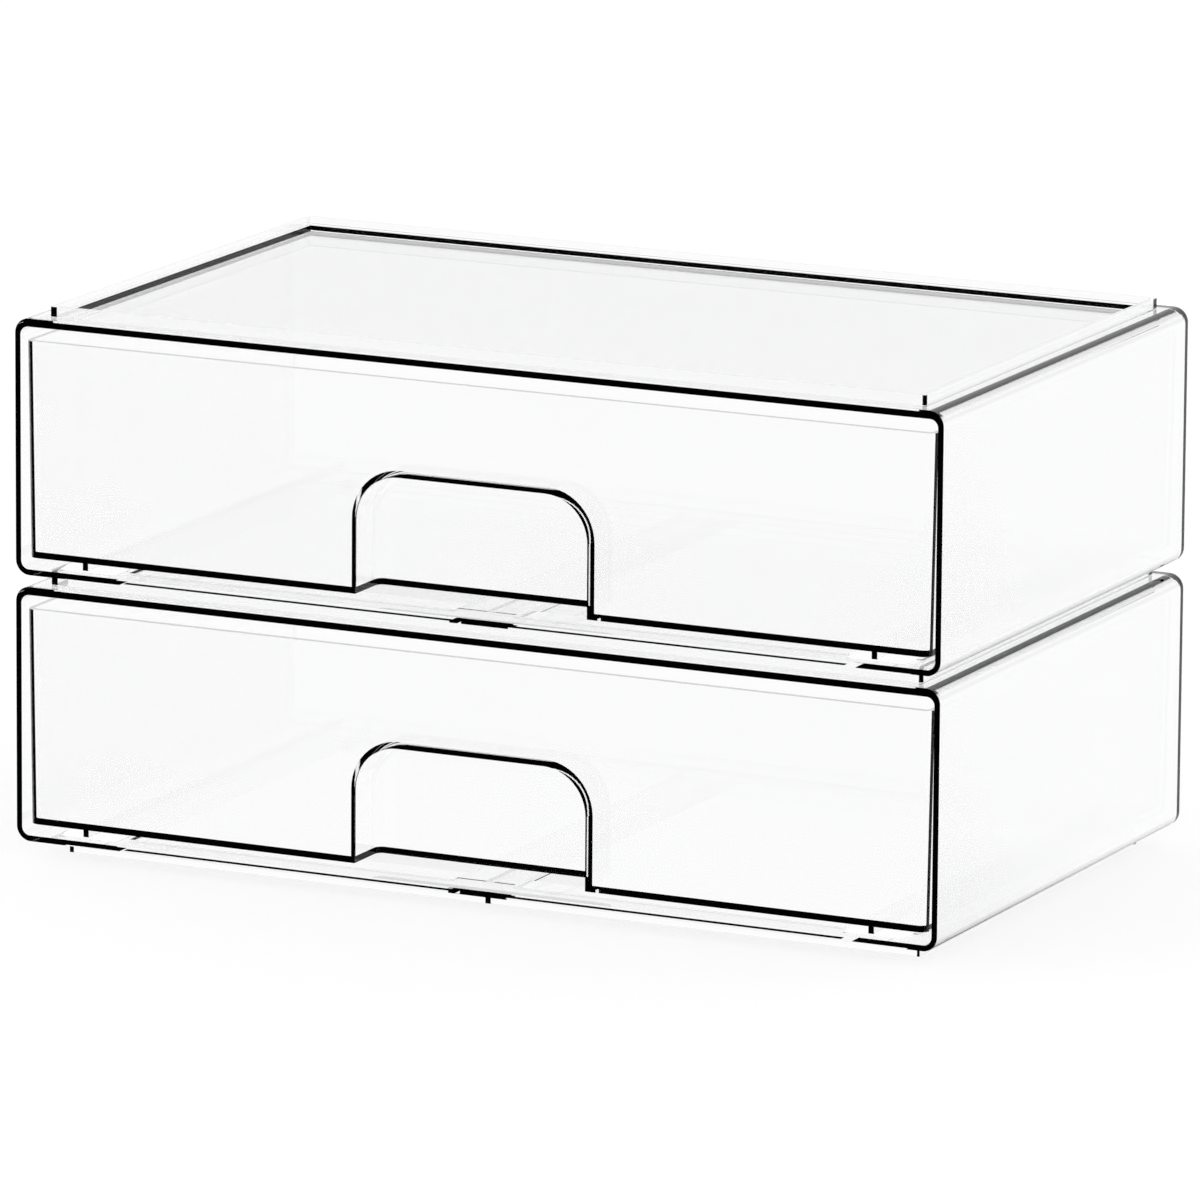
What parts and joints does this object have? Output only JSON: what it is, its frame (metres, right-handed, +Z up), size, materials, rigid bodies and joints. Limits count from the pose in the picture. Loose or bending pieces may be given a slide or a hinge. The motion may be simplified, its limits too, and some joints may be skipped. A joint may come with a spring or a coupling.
{
  "type": "stackable drawer unit",
  "caption": "Clear plastic desk drawer stack: nesting rounded casings with open fronts, each holding a full-width pull-out tray with an arched finger pull.",
  "frame": {"origin": "middle of the footprint, on the surface the foot of the lower casing stands on", "axes": "+Z up, the open fronts and the trays face -Y, +X to the right of someone who faces the object is the long side of each casing"},
  "size_m": [0.305, 0.1804, 0.169],
  "materials": {
    "clear_casing": "clear, polished",
    "clear_tray": "clear, polished"
  },
  "bodies": {
    "lower_casing": {"lower_casing": "clear_casing"},
    "lower_tray": {"lower_tray": "clear_tray"},
    "upper_casing": {"upper_casing": "clear_casing"},
    "upper_tray": {"upper_tray": "clear_tray"}
  },
  "joints": [
    {"name": "lower_tray_slide", "type": "slide", "parent": "lower_casing", "child": "lower_tray", "axis": [0, -1, 0], "range_m": [0, 0.1348]},
    {"name": "upper_casing_lift", "type": "slide", "parent": "lower_casing", "child": "upper_casing", "axis": [0, 0, 1], "range_m": [0, 0.12]},
    {"name": "upper_tray_slide", "type": "slide", "parent": "upper_casing", "child": "upper_tray", "axis": [0, -1, 0], "range_m": [0, 0.1348]}
  ]
}
